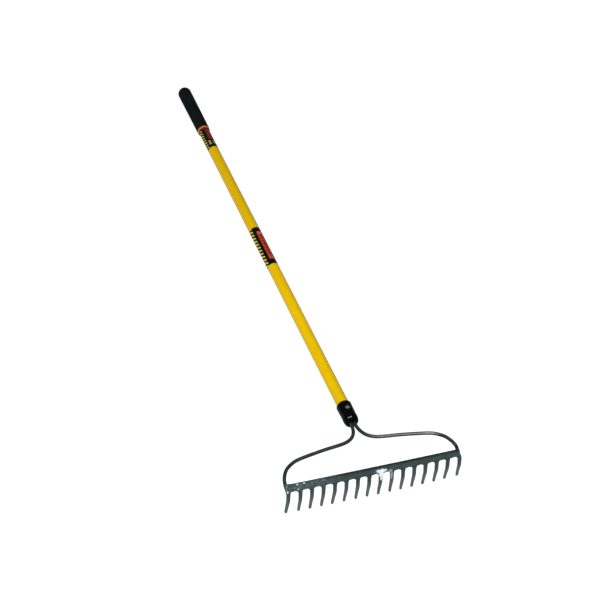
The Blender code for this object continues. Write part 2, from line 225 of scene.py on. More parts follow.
class Shader:
    """Builds one material's nodes. Textures are read in the rake's own layout, in metres."""

    def __init__(self, name):
        self.material = bpy.data.materials.new(name)
        self.material.use_nodes = True
        self.tree = self.material.node_tree
        self.surface = self.tree.nodes["Principled BSDF"]
        in_layout = self.add("ShaderNodeMapping")
        self.join(self.add("ShaderNodeTexCoord").outputs["Object"], in_layout.inputs["Vector"])
        in_layout.inputs["Location"].default_value = LAYOUT.translation
        in_layout.inputs["Rotation"].default_value = LAYOUT.to_euler()
        self.layout = in_layout.outputs["Vector"]

    def add(self, kind):
        return self.tree.nodes.new(kind)

    def join(self, source, target):
        self.tree.links.new(source, target)

    def feed(self, socket, value):
        if isinstance(value, bpy.types.NodeSocket):
            self.join(value, socket)
        else:
            socket.default_value = value

    def stretch(self, scale):
        mapping = self.add("ShaderNodeMapping")
        self.join(self.layout, mapping.inputs["Vector"])
        mapping.inputs["Scale"].default_value = scale
        return mapping.outputs["Vector"]

    def noise(self, scale, detail=3.0, roughness=0.55, source=None, distortion=0.0):
        node = self.add("ShaderNodeTexNoise")
        self.join(source or self.layout, node.inputs["Vector"])
        node.inputs["Scale"].default_value = scale
        node.inputs["Detail"].default_value = detail
        node.inputs["Roughness"].default_value = roughness
        node.inputs["Distortion"].default_value = distortion
        return node.outputs["Fac"]

    def cells(self, scale):
        node = self.add("ShaderNodeTexVoronoi")
        self.join(self.layout, node.inputs["Vector"])
        node.inputs["Scale"].default_value = scale
        return node.outputs["Distance"]

    def span(self, value, low, high, to_low=0.0, to_high=1.0):
        """value mapped from low..high to to_low..to_high, and held there outside."""
        node = self.add("ShaderNodeMapRange")
        node.interpolation_type = "SMOOTHSTEP"
        self.feed(node.inputs["Value"], value)
        node.inputs["From Min"].default_value = low
        node.inputs["From Max"].default_value = high
        node.inputs["To Min"].default_value = to_low
        node.inputs["To Max"].default_value = to_high
        return node.outputs["Result"]

    def math(self, operation, a, b=0.0):
        node = self.add("ShaderNodeMath")
        node.operation = operation
        self.feed(node.inputs[0], a)
        self.feed(node.inputs[1], b)
        return node.outputs[0]

    def axis(self, letter):
        node = self.add("ShaderNodeSeparateXYZ")
        self.join(self.layout, node.inputs[0])
        return node.outputs[letter]

    def layer(self, name):
        """A value that the mesh code stored at each vertex."""
        node = self.add("ShaderNodeAttribute")
        node.attribute_name = name
        return node.outputs["Fac"]

    def distance_to(self, point, scale=(1.0, 1.0, 1.0)):
        """Distance to a point, each axis weighed by scale."""
        shift = self.add("ShaderNodeVectorMath")
        shift.operation = "SUBTRACT"
        self.join(self.layout, shift.inputs[0])
        shift.inputs[1].default_value = point
        weigh = self.add("ShaderNodeVectorMath")
        weigh.operation = "MULTIPLY"
        self.join(shift.outputs[0], weigh.inputs[0])
        weigh.inputs[1].default_value = scale
        size = self.add("ShaderNodeVectorMath")
        size.operation = "LENGTH"
        self.join(weigh.outputs[0], size.inputs[0])
        return size.outputs["Value"]

    def blend(self, factor, a, b):
        node = self.add("ShaderNodeMix")
        node.data_type = "RGBA"
        self.feed(node.inputs["Factor"], factor)
        self.feed(node.inputs["A"], a)
        self.feed(node.inputs["B"], b)
        return node.outputs["Result"]

    def bump(self, height, distance, strength=1.0, under=None):
        node = self.add("ShaderNodeBump")
        node.inputs["Strength"].default_value = strength
        node.inputs["Distance"].default_value = distance
        self.feed(node.inputs["Height"], height)
        if under:
            self.join(under, node.inputs["Normal"])
        return node.outputs["Normal"]

    def set(self, **values):
        """Sets the surface's own sockets; a name's underscores stand for spaces."""
        for name, value in values.items():
            self.feed(self.surface.inputs[name.replace("_", " ")], value)
        return self.material


def colour(r, g, b):
    return (r, g, b, 1.0)


def steel_shader(name, base, light):
    """Steel under clear lacquer, mottled with scale: the shader, its tone, blotches and grain."""
    s = Shader(name)
    blotches = s.span(s.noise(75.0, 5.0, 0.65, distortion=0.4), 0.36, 0.66)
    grain = s.span(s.noise(900.0, 3.0, 0.6), 0.3, 0.75)
    mottled = s.blend(blotches, base, light)
    speckled = s.blend(s.math("MULTIPLY", grain, 0.30), mottled, light)
    return s, speckled, blotches, grain


def hammer_marks(s, grain):
    """The relief of hammered or welded steel: dents, pits and the lacquer's grain."""
    hammer = s.noise(170.0, 2.0, 0.5)
    pits = s.span(s.cells(420.0), 0.0, 0.35)
    marks = s.bump(hammer, 0.0006, 0.45)
    marks = s.bump(pits, 0.00015, 0.35, marks)
    return s.bump(grain, 0.00006, 0.4, marks)


# Painted highlights and glints on the front of the head: (x, z, half width, half height) in
# millimetres.
HIGHLIGHT_PATCHES = [
    (12.5, -7.5, 11.5, 6.0), (13.0, -15.0, 5.5, 9.5), (13.8, -28.0, 2.4, 10.0),
    (-203.0, -16.6, 1.6, 2.8),
]
FAINT_HIGHLIGHT_PATCHES = [(33.5, -13.0, 5.0, 4.5), (38.2, -26.0, 2.2, 13.0)]
# Painted glints on the left end of the bar, bright and dull.
BRIGHT_GLINTS = [
    (-181.4, 3.0, 3.0, 1.6), (-166.0, 3.0, 2.8, 1.4), (-179.2, -10.8, 2.9, 2.5),
    (-173.5, 1.4, 1.8, 1.2),
]
DULL_GLINTS = [
    (-148.0, 0.6, 3.4, 2.2), (-139.0, 0.4, 2.6, 2.0), (-121.0, 0.8, 3.2, 2.4),
    (-187.0, -5.0, 2.6, 2.6), (-204.0, -0.5, 1.8, 2.4), (-205.5, -11.0, 1.6, 3.0),
    (-176.0, -5.0, 2.6, 2.2), (-158.0, -4.5, 2.4, 1.8),
]


def nearest_patch(s, patches):
    """Distance from the nearest patch's middle, where 1 is its edge."""
    nearest = None
    for x, z, half_width, half_height in patches:
        distance = s.distance_to((x / 1000, 0.0, z / 1000),
                                 (1000 / half_width, 0.0, 1000 / half_height))
        nearest = distance if nearest is None else s.math("MINIMUM", nearest, distance)
    return nearest


def head_material():
    """The head's steel: painted shade on the edges, tines rubbed paler, and painted highlights in
    patches.
    """
    base, light = colour(0.0125, 0.0255, 0.0255), colour(0.027, 0.050, 0.050)
    s, speckled, blotches, grain = steel_shader("head_steel", base, light)
    # The lower tines are rubbed clean by the soil, so they are a little lighter.
    rubbed = s.span(s.axis("Z"), -0.018, -0.060, 0.0, 0.62)
    toned = s.blend(rubbed, speckled, colour(0.060, 0.104, 0.105))
    # Painted shade: the rims of the front and the sides of the tines are darkened.
    toned = s.blend(s.math("MULTIPLY", s.layer(EDGE_SHADE_LAYER), 0.72), toned,
                    colour(0.006, 0.012, 0.012))
    # The left end is painted a little paler and flecked with painted glints of its bumpy lacquer.
    near_left = s.span(s.axis("X"), -0.060, -0.135)
    on_bar = s.span(s.axis("Z"), -0.024, -0.012)
    glinting_end = s.math("MULTIPLY", near_left, on_bar)
    toned = s.blend(s.math("MULTIPLY", glinting_end, 0.20), toned, colour(0.07, 0.12, 0.125))
    glint_flecks = s.span(s.noise(330.0, 4.0, 0.7), 0.52, 0.66, 0.0, 0.5)
    toned = s.blend(s.math("MULTIPLY", glint_flecks, glinting_end), toned, colour(0.19, 0.27, 0.29))
    ragged = s.span(s.noise(230.0, 4.0, 0.65), 0.2, 0.8, -0.55, 0.55)
    on_front = s.span(s.axis("Y"), 0.0010, -0.0010)
    # Painted highlights: each list of patches is lightened towards its tone.
    for patches, strength, tone in (
            (DULL_GLINTS, 0.50, colour(0.16, 0.22, 0.23)), (BRIGHT_GLINTS, 0.75, colour(0.38, 0.50, 0.51)),
            (FAINT_HIGHLIGHT_PATCHES, 0.50, colour(0.42, 0.54, 0.54)),
            (HIGHLIGHT_PATCHES, 1.0, colour(0.68, 0.78, 0.78))):
        worn = s.span(s.math("ADD", nearest_patch(s, patches), ragged), 1.12, 0.82, 0.0, strength)
        toned = s.blend(s.math("MULTIPLY", worn, on_front), toned, tone)
    rough = s.span(blotches, 0.0, 1.0, 0.26, 0.40)
    return s.set(
        Base_Color=toned, Metallic=0.0, Roughness=rough, Normal=hammer_marks(s, grain),
        Specular_IOR_Level=0.16,
    )


def rod_material():
    """The bow's drawn rod under the same lacquer, smoother and darker, with a painted highlight
    along its top.
    """
    base, light = colour(0.0090, 0.0155, 0.0155), colour(0.017, 0.027, 0.027)
    s, speckled, blotches, _grain = steel_shader("bow_steel", base, light)
    drawn = s.noise(1300.0, 3.0, 0.5)
    ragged = s.span(s.noise(260.0, 3.0, 0.6), 0.25, 0.60, 0.55, 1.0)
    # Painted highlight: a pale line along the top of each arm, strongest on the right.
    worn = s.math("MULTIPLY", s.layer(HIGHLIGHT_LAYER), ragged)
    toned = s.blend(worn, speckled, colour(0.30, 0.345, 0.33))
    marks = s.bump(drawn, 0.00003, 0.3)
    rough = s.span(blotches, 0.0, 1.0, 0.24, 0.34)
    return s.set(
        Base_Color=toned, Roughness=rough, Normal=marks,
        Specular_IOR_Level=0.04, Coat_Weight=0.08, Coat_Roughness=0.14,
    )


def weld_material():
    """Weld metal, rippled and a little brighter than the rod."""
    base, light = colour(0.018, 0.030, 0.030), colour(0.09, 0.115, 0.112)
    s, speckled, _blotches, grain = steel_shader("weld_steel", base, light)
    return s.set(
        Base_Color=speckled, Metallic=0.2, Roughness=0.34, Normal=hammer_marks(s, grain),
        Specular_IOR_Level=0.3, Coat_Weight=0.2, Coat_Roughness=0.2,
    )


def ferrule_material():
    """Black stoved enamel with a slight orange peel, fine dust and hair scratches."""
    s = Shader("black_enamel")
    peel = s.noise(420.0, 2.0, 0.5)
    dust = s.span(s.noise(2600.0, 3.0, 0.7), 0.66, 0.80)
    cloud = s.noise(70.0, 4.0, 0.6)
    dark = s.blend(s.math("MULTIPLY", dust, 0.35), colour(0.0017, 0.0020, 0.0021),
                   colour(0.012, 0.015, 0.015))
    # Two painted highlights on the shoulder, glints of the light on the glossy enamel.
    glints = s.math("MINIMUM", *(s.distance_to(spot) for spot in FERRULE_GLINTS))
    ragged = s.math("ADD", glints, s.math("MULTIPLY", peel, 0.0010))
    dark = s.blend(s.span(ragged, 0.0018, 0.0012), dark, colour(0.60, 0.65, 0.64))
    scratch = s.noise(1.0, 3.0, 0.6, s.stretch((1500.0, 90.0, 1500.0)))
    normal = s.bump(peel, 0.00004, 0.30)
    normal = s.bump(s.span(scratch, 0.62, 0.72), 0.00003, 0.5, normal)
    rough = s.span(cloud, 0.3, 0.7, 0.06, 0.12)
    return s.set(
        Base_Color=dark, Roughness=rough, Normal=normal, Specular_IOR_Level=0.02,
    )


def rivet_material():
    """Zinc plating, dulled and slightly yellowed, with turning marks from the heading tool."""
    s = Shader("rivet_zinc")
    cloud = s.noise(500.0, 4.0, 0.6)
    tone = s.blend(s.span(cloud, 0.35, 0.65), colour(0.050, 0.076, 0.060),
                   colour(0.11, 0.15, 0.12))
    radius = s.distance_to((0.0, RIVET_Y, 0.0), (1.0, 1.0, 0.0))
    rings = s.math("SINE", s.math("MULTIPLY", radius, 9000.0))
    normal = s.bump(rings, 0.00002, 0.35)
    normal = s.bump(cloud, 0.0001, 0.5, normal)
    return s.set(
        Base_Color=tone, Metallic=0.3, Roughness=0.42, Normal=normal, Specular_IOR_Level=0.3,
    )


def fibreglass_material():
    """Pulled yellow fibreglass: rovings run lengthwise under a glossy resin skin."""
    s = Shader("yellow_fibreglass")
    rovings = s.noise(1.0, 4.0, 0.6, s.stretch((900.0, 9.0, 900.0)))
    fine = s.noise(1.0, 3.0, 0.6, s.stretch((3600.0, 40.0, 3600.0)))
    patches = s.noise(1.0, 3.0, 0.5, s.stretch((60.0, 22.0, 60.0)))
    deep, bright = colour(0.484, 0.300, 0.0002), colour(0.545, 0.347, 0.0003)
    tone = s.blend(s.span(rovings, 0.30, 0.70), deep, bright)
    tone = s.blend(s.span(patches, 0.40, 0.66, 0.0, 0.32), tone, colour(0.573, 0.371, 0.0005))
    tone = s.blend(s.span(fine, 0.60, 0.75, 0.0, 0.18), tone, colour(0.40, 0.235, 0.0002))
    # Painted shade: darker towards the grip, and olive along the right side.
    far = s.span(s.axis("Y"), 0.55, 1.05, 0.0, 0.8)
    tone = s.blend(far, tone, colour(0.43, 0.265, 0.0003))
    right = s.span(s.axis("X"), 0.0030, 0.0130, 0.0, 0.75)
    tone = s.blend(right, tone, colour(0.30, 0.215, 0.010))
    normal = s.bump(rovings, 0.00005, 0.35)
    normal = s.bump(fine, 0.00002, 0.3, normal)
    rough = s.span(patches, 0.3, 0.7, 0.30, 0.40)
    return s.set(
        Base_Color=tone, Roughness=rough, Normal=normal, Specular_IOR_Level=0.05,
    )


def foam_material():
    """Closed-cell foam rubber: fine pores and a soft, slightly dusty skin."""
    s = Shader("foam_rubber")
    pores = s.cells(1500.0)
    lumps = s.noise(240.0, 4.0, 0.6)
    dust = s.span(s.noise(1300.0, 4.0, 0.7), 0.58, 0.74)
    tone = s.blend(s.math("MULTIPLY", dust, 0.5), colour(0.0026, 0.0052, 0.0060),
                   colour(0.011, 0.016, 0.017))
    tone = s.blend(s.span(lumps, 0.4, 0.7, 0.0, 0.5), tone, colour(0.0045, 0.0065, 0.007))
    # Painted shade: the sides are darkened.
    across = s.axis("X")
    to_left, to_right = s.span(across, -0.0110, -0.0165), s.span(across, 0.0040, 0.0110)
    to_side = s.math("MAXIMUM", to_left, to_right)
    tone = s.blend(s.math("MULTIPLY", to_side, 0.8), tone, colour(0.0009, 0.0013, 0.0014))
    normal = s.bump(pores, 0.00025, 0.7)
    normal = s.bump(lumps, 0.0004, 0.4, normal)
    return s.set(
        Base_Color=tone, Roughness=0.72, Normal=normal, Specular_IOR_Level=0.03,
    )


def nylon_material():
    """Moulded nylon, waxy and slightly clouded."""
    s = Shader("moulded_nylon")
    cloud = s.noise(140.0, 4.0, 0.6)
    tone = s.blend(s.span(cloud, 0.35, 0.7), colour(0.56, 0.53, 0.47), colour(0.64, 0.61, 0.55))
    normal = s.bump(s.noise(900.0, 2.0, 0.5), 0.00005, 0.4)
    return s.set(Base_Color=tone, Roughness=0.5, Normal=normal, Subsurface_Weight=0.1)


def collar_material():
    """Orange-red plastic: a painted shadow line on its nose, then a painted highlight band, and dark
    by the grip.
    """
    s = Shader("orange_plastic")
    along = s.axis("Y")
    mottle = s.noise(380.0, 3.0, 0.55)
    uneven = s.math("ADD", along, s.math("MULTIPLY", mottle, 0.0016))
    shade = s.span(uneven, COLLAR_START + 0.0060, COLLAR_END - 0.0004)
    tone = s.blend(shade, colour(0.50, 0.075, 0.016), colour(0.085, 0.008, 0.004))
    # Painted highlight: a pale band behind the nose.
    highlight_band = s.span(uneven, COLLAR_START + 0.0058, COLLAR_START + 0.0038, 0.0, 0.45)
    tone = s.blend(highlight_band, tone, colour(0.66, 0.235, 0.075))
    # Painted shadow: a dark line in the joint at the nose.
    shadow_line = s.span(uneven, COLLAR_START + 0.0032, COLLAR_START + 0.0022)
    tone = s.blend(shadow_line, tone, colour(0.014, 0.006, 0.004))
    tone = s.blend(s.span(mottle, 0.45, 0.75, 0.0, 0.3), tone, colour(0.30, 0.030, 0.008))
    normal = s.bump(mottle, 0.00012, 0.4)
    return s.set(Base_Color=tone, Roughness=0.42, Normal=normal, Specular_IOR_Level=0.15)


def film_material(name, tone, variation):
    """Printed vinyl film, with the print's slight unevenness and a few fine scuffs."""
    s = Shader(name)
    cloud = s.span(s.noise(260.0, 4.0, 0.6), 0.35, 0.7)
    scuff = s.span(s.noise(1.0, 3.0, 0.6, s.stretch((1200.0, 120.0, 1200.0))), 0.64, 0.76)
    mixed = s.blend(cloud, tone, variation)
    mixed = s.blend(s.math("MULTIPLY", scuff, 0.12), mixed, colour(0.30, 0.28, 0.24))
    normal = s.bump(s.noise(500.0, 2.0, 0.5), 0.00006, 0.4)
    return s.set(
        Base_Color=mixed, Roughness=0.34, Normal=normal, Specular_IOR_Level=0.02,
    )


def floor_material():
    """A white photographer's table, lit softly from below so that shadows stay faint."""
    s = Shader("pale_floor")
    cloud = s.noise(3.0, 3.0, 0.5)
    tone = s.blend(cloud, colour(0.17, 0.17, 0.17), colour(0.19, 0.19, 0.19))
    return s.set(
        Base_Color=tone, Roughness=0.9, Specular_IOR_Level=0.0,
        Emission_Color=colour(1.0, 1.0, 1.0), Emission_Strength=0.93,
    )


# ---------------------------------------------------------------- the head

def tine_centre(z):
    """How far back the tine's centre line stands at height z, on a smooth curve."""
    if z >= TINE_SWEEP[0][0]:
        return TINE_SWEEP[0][1]
    last = len(TINE_SWEEP) - 1
    for i in range(last):
        (z0, y0), (z1, y1) = TINE_SWEEP[i], TINE_SWEEP[i + 1]
        if z >= z1:
            before = TINE_SWEEP[max(i - 1, 0)]
            after = TINE_SWEEP[min(i + 2, last)]
            slope0 = (y1 - before[1]) / (z1 - before[0]) * (z1 - z0)
            slope1 = (after[1] - y0) / (after[0] - z0) * (z1 - z0)
            t = (z - z0) / (z1 - z0)
            return (y0 * (2 * t**3 - 3 * t**2 + 1) + slope0 * (t**3 - 2 * t**2 + t)
                    + y1 * (3 * t**2 - 2 * t**3) + slope1 * (t**3 - t**2))
    return TINE_SWEEP[-1][1]


def superellipse(share, power):
    """Half thickness at a share of the half width, for a section with rounded corners."""
    return max(0.0, 1.0 - abs(share) ** power) ** (1.0 / power)


def head_rows():
    """Rows from the bar's top to a tine's tip: (z, half width or None, half thickness, power).

    The power squares off the section: a high one in the bar and a lower one at the round tips.
    """
    half = BAR_THICKNESS / 2
    rows = [(BAR_TOP, None, half - BAR_CHAMFER, 30.0), (BAR_TOP - 0.0003, None, half - 0.0005, 30.0)]
    for depth in (0.0011, 0.0026, 0.0042, 0.0060, 0.0105, 0.0150):
        rows.append((BAR_TOP - depth, None, half, 30.0))
    rows.append((GAP_TOP + 0.0008, None, half, 14.0))
    rows.append((GAP_TOP, None, half - 0.0006, 10.0))
    reach = (TINE_PITCH - TINE_WIDTH) / 2
    for angle in (14.0, 27.0, 40.0, 53.0, 66.0, 78.0, 90.0):
        turn = math.radians(angle)
        half_width = TINE_PITCH / 2 - reach * math.sin(turn) ** 0.8
        depth = GAP_ARCH * (1.0 - math.cos(turn))
        rows.append((GAP_TOP - depth, half_width, half, 7.0 - 2.0 * angle / 90.0))
    root = rows[-1][0]
    shaft_end = TIP_DEPTH + TIP_ROUND
    steps = 13
    for step in range(1, steps + 1):
        share = step / steps
        z = root + (shaft_end - root) * share
        width = TINE_WIDTH + (TIP_WIDTH - TINE_WIDTH) * share ** 1.5
        thickness = BAR_THICKNESS + (TIP_THICKNESS - BAR_THICKNESS) * share
        rows.append((z, width / 2, thickness / 2, 5.0 - 1.8 * share))
    for share in (0.45, 0.78, 0.96):
        close = math.sqrt(1.0 - share ** 2)
        z = shaft_end - TIP_ROUND * share
        rows.append((z, TIP_WIDTH / 2 * close, TIP_THICKNESS / 2 * close, 3.0))
    return rows


COLUMN_SHARES = (-1.0, -0.93, -0.74, -0.36, 0.36, 0.74, 0.93, 1.0)
SIDE_SHARE = 0.985
# Subdivision draws each section in a little, so the cage stands out by this much.
CAGE_SWELL = 1.035


def tine_x(index):
    shift = {0: -END_TINE_SHIFT, TINE_COUNT - 1: END_TINE_SHIFT}.get(index, 0.0)
    return (index - (TINE_COUNT - 1) / 2) * TINE_PITCH + shift


# The forging's ends were sheared askew: the left one stands out at the top, the right slopes in.
END_SLOPE = {0: -0.0007, TINE_COUNT - 1: BAR_END_SLOPE + 0.0015}


def end_inset(index, z):
    """How far the head's end slopes in at height z, from the end tine's root up to the bar's top."""
    root = GAP_TOP - GAP_ARCH
    share = max(0.0, (z - root) / (BAR_TOP - root))
    return END_SLOPE[index] * share ** 0.7


def head_columns(index, z, half_width):
    centre = tine_x(index)
    if half_width is None:
        left = (tine_x(index - 1) + centre) / 2
        right = (tine_x(index + 1) + centre) / 2
    else:
        left, right = centre - half_width, centre + half_width
    if index == 0:
        left = max(left, centre - BAR_END_OVERHANG + end_inset(index, z))
    if index == TINE_COUNT - 1:
        right = min(right, centre + BAR_END_OVERHANG - end_inset(index, z))
    return [left + (right - left) * (share + 1.0) / 2.0 for share in COLUMN_SHARES]


# How far each tip has been knocked sideways in use, in millimetres, from left to right.
TIP_SWAY = (-2.7, -0.5, -0.8, -0.5, -1.9, -0.5, 0.3, 0.5, 0.4, 1.3, 0.9, 0.4, 0.0, 0.4, -0.2, 1.7)
# The end tines stand a little to the right at their roots, in millimetres.
ROOT_SHIFT = {0: 0.7, TINE_COUNT - 1: 0.5}
# The right-hand tines are worn short, in millimetres.
TIP_WEAR = {11: 0.9, 12: 1.4, 13: 2.2, 14: 3.4, 15: 4.8}
# The bar's ends stand this much above its middle, and its right-hand gaps are cut this much higher.
BAR_CROWN = 0.0008
GAP_RISE = 0.0014
# The head's left end has been knocked back by this much.
LEFT_BEND = 0.0025
# The punch that cut the gaps leaned, so each gap's left corner is this much higher, its right lower.
PUNCH_LEAN = 0.0031


def forging_error(index, x, z, share, dice):
    """How far a point of the head is from the true shape: across, back and up."""
    root = GAP_TOP - GAP_ARCH
    down = unit((root - z) / (root - TIP_DEPTH))
    steady = ROOT_SHIFT.get(index, 0.0) * unit((GAP_TOP - z) / GAP_ARCH)
    sway = (TIP_SWAY[index] * down ** 1.7 + steady) / 1000.0
    back = dice[index] * down ** 1.6
    worn = TIP_WEAR.get(index, 0.17) / 1000.0 * down
    span = x / (TINE_PITCH * TINE_COUNT / 2)
    near_gap = max(0.0, 1.0 - abs(z - GAP_TOP + GAP_ARCH / 2) / (GAP_ARCH * 1.4))
    rise = span + 1.5 * max(span, 0.0) ** 6
    lift = BAR_CROWN * (span + 0.25) ** 2 + GAP_RISE * rise * near_gap
    back += LEFT_BEND * max(0.0, (-x - 0.186) / 0.0195) ** 2
    in_arch = (GAP_TOP - z) / GAP_ARCH
    if 0.0 < in_arch < 1.0:
        lift += PUNCH_LEAN * share * math.sin(math.pi * in_arch)
    return sway, back, worn + lift


# Painted shade on the head's rims, stored at each vertex.
EDGE_SHADE_LAYER = "edge"


def rim_shade_share(z, half_width, share):
    """1 on the rims of the head's front, which are painted in shade, falling to 0 within them."""
    from_top = (BAR_TOP - z) / 0.0030
    if half_width is None:
        from_gap = max((z - GAP_TOP) / 0.0030, 0.0)
        return max(1.0 - from_top, (1.0 - from_gap) * abs(share) ** 2, 0.0)
    return abs(share) ** 4


def head_piece(material):
    bm = bmesh.new()
    rim_shade = bm.verts.layers.float.new(EDGE_SHADE_LAYER)
    rows = head_rows()
    gap_row = next(i for i, row in enumerate(rows) if row[1] is not None) - 1
    crease = bm.edges.layers.float.new("crease_edge")
    rolls = random.Random(16)
    dice = [rolls.uniform(-0.0004, 0.0003) for _ in range(TINE_COUNT)]
    last = len(COLUMN_SHARES) - 1
    for index in range(TINE_COUNT):
        front, back = [], []
        for z, half_width, half_thick, power in rows:
            centre = tine_centre(z)
            near, far = [], []
            swollen = None if half_width is None else half_width * CAGE_SWELL
            for x, share in zip(head_columns(index, z, swollen), COLUMN_SHARES):
                depth = half_thick * CAGE_SWELL * superellipse(share * SIDE_SHARE, power)
                if half_width is None:
                    depth = half_thick
                across, behind, up = forging_error(index, x, z, share, dice)
                middle = centre + behind
                for skin, y in ((near, middle - depth), (far, middle + depth)):
                    skin.append(bm.verts.new((x + across, y, z + up)))
                    skin[-1][rim_shade] = rim_shade_share(z, half_width, share)
            front.append(near)
            back.append(far)
        for upper in range(len(rows) - 1):
            lower = upper + 1
            for c in range(last):
                for skin in (front, back):
                    bm.faces.new((skin[upper][c], skin[upper][c + 1],
                                  skin[lower][c + 1], skin[lower][c]))
            for c, is_end in ((0, index == 0), (last, index == TINE_COUNT - 1)):
                if upper >= gap_row or is_end:
                    bm.faces.new((front[upper][c], back[upper][c], back[lower][c], front[lower][c]))
        for c in range(last):
            for level in (0, -1):
                bm.faces.new((front[level][c], front[level][c + 1],
                              back[level][c + 1], back[level][c]))
    bmesh.ops.remove_doubles(bm, verts=bm.verts, dist=1e-6)
    for edge in bm.edges:
        on_top = all(v.co.z > BAR_TOP - 1e-5 for v in edge.verts)
        if on_top and abs(edge.verts[0].co.y - edge.verts[1].co.y) < 1e-6:
            edge[crease] = 0.6
    head = place("steel_head", mesh_from("steel_head", bm), [material], "rake_head")
    subdivide(head, levels=2)
    rough = bpy.data.textures.new("forging", "CLOUDS")
    rough.noise_scale = 0.011
    forged = head.modifiers.new("forged", "DISPLACE")
    forged.texture = rough
    forged.texture_coords = "LOCAL"
    forged.strength = 0.0004
    forged.mid_level = 0.65
    return head


# ---------------------------------------------------------------- the bow

def smooth_route(points, steps):
    """A smooth curve through points, by the tangents of a Catmull-Rom spline."""
    points = [Vector(p) for p in points]
    route = []
    for i in range(len(points) - 1):
        a, b = points[i], points[i + 1]
        before = points[i - 1] if i else a - (b - a)
        after = points[i + 2] if i + 2 < len(points) else b + (b - a)
        gap = (b - a).length
        lead = (b - before) * (gap / ((b - before).length * 3))
        trail = (after - a) * (gap / ((after - a).length * 3))
        route += interpolate_bezier(a, a + lead, b - trail, b, steps + 1)[:-1]
    return route + [points[-1]]


def rod_radius(point):
    """The rod is drawn down in the handle, and its thickness wavers a little all along."""
    into_handle = unit((point.y - 0.154) / 0.016)
    radius = ROD_RADIUS + (TANG_RADIUS - ROD_RADIUS) * into_handle
    return radius * (1.0 + 0.010 * noise.noise(point * 90.0))


# Painted highlight on the rods, stored at each vertex.
HIGHLIGHT_LAYER = "rubbed"
# The side of the rods that carries the painted highlight, and how strongly on the left and right
# arms.
HIGHLIGHT_SIDE = Vector((-0.28, -0.62, 0.73))
HIGHLIGHT_STRENGTH = {-1: 0.06, 1: 0.60}
# The rods are drawn in by this share, so that their bends stay within the rake's width.
DRAWN_IN = 0.9994
# The left rod's end was welded on this far from its place, over the last part of its drop.
LEFT_END_SHIFT = Vector((-0.0012, 0.0, 0.0015))


def highlight_share(point, facing, along, side):
    """How strong the painted highlight is here: most in a line along the middle of each arm."""
    side_on = (HIGHLIGHT_SIDE - along * HIGHLIGHT_SIDE.dot(along)).normalized()
    in_line = unit((facing.dot(side_on) - 0.92) / 0.07)
    from_neck = unit((abs(point.x) - 0.014) / 0.030)
    from_end = unit((0.180 - abs(point.x)) / 0.015)
    at_bend = 1.0 + max(0.0, 1.0 - abs(abs(point.x) - 0.153) / 0.022)
    return min(HIGHLIGHT_STRENGTH[side] * in_line * from_neck * from_end * at_bend, 1.0)


def rod_piece(name, side, material, node):
    route = smooth_route([(side * x * DRAWN_IN, y, z) for x, y, z in BOW_ROUTE], 9)
    for point in route:
        near_end = unit((0.014 - point.y) / 0.012)
        point += LEFT_END_SHIFT * near_end * max(-side, 0)
    bm = bmesh.new()
    # The painted highlight's strength at each vertex.
    worn = bm.verts.layers.float.new(HIGHLIGHT_LAYER)
    rings = []
    for i, point in enumerate(route):
        ahead = route[min(i + 1, len(route) - 1)] - route[max(i - 1, 0)]
        across = Vector((0, 0, 1)).cross(ahead).normalized()
        up = ahead.cross(across).normalized()
        radius = rod_radius(point)
        ring = []
        for k in range(ROD_SIDES):
            angle = math.tau * k / ROD_SIDES
            facing = across * math.cos(angle) + up * math.sin(angle)
            ring.append(bm.verts.new(point + facing * radius))
            ring[-1][worn] = highlight_share(point, facing, ahead.normalized(), side)
        rings.append(ring)
    rings_to_mesh(bm, rings)
    return place(name, mesh_from(name, bm, 50.0), [material], node)


def weld_piece(name, side, material, node):
    """A run of weld laid round the rod's end, with the ripples of each pool and a few lumps."""
    bm = bmesh.new()
    sides, ripples = 96, 13
    centre = Vector((side * BOW_END_X, 0.0, BOW_END_DROP))
    base = BAR_THICKNESS / 2
    shape = [(-0.0004, 1.55), (0.0002, 1.42), (0.0010, 1.33), (0.0018, 1.22), (0.0026, 1.10),
             (0.0032, 0.985)]
    rings = []
    for rise, spread in shape:
        ring = []
        for k in range(sides):
            angle = math.tau * k / sides
            pool = 0.5 + 0.5 * math.cos(angle * ripples + rise * 900.0)
            lump = noise.noise(Vector((math.cos(angle), math.sin(angle), side)) * 1.7)
            bulge = (spread - 0.985) * (1.0 + 0.22 * lump + 0.10 * pool)
            radius = min(ROD_RADIUS * (0.985 + bulge), ROD_RADIUS + 0.0010)
            y = base + rise * (1.0 + 0.2 * lump) + 0.00012 * pool
            ring.append(bm.verts.new(
                centre + Vector((radius * math.cos(angle), y, radius * math.sin(angle)))))
        rings.append(ring)
    rings_to_mesh(bm, rings)
    return place(name, mesh_from(name, bm, 60.0), [material], node)


# ---------------------------------------------------------------- ferrule and rivet

def mouth_outline(angle, radius):
    """A point on the oval round both rods, in the direction of angle from the middle."""
    x, z = math.sin(angle), math.cos(angle)
    if abs(z) * MOUTH_SPREAD >= abs(x) * radius:
        return x / abs(z) * radius, math.copysign(radius, z)
    lead = MOUTH_SPREAD * abs(x)
    reach = lead + math.sqrt(max(lead**2 - MOUTH_SPREAD**2 + radius**2, 0.0))
    return x * reach, z * reach


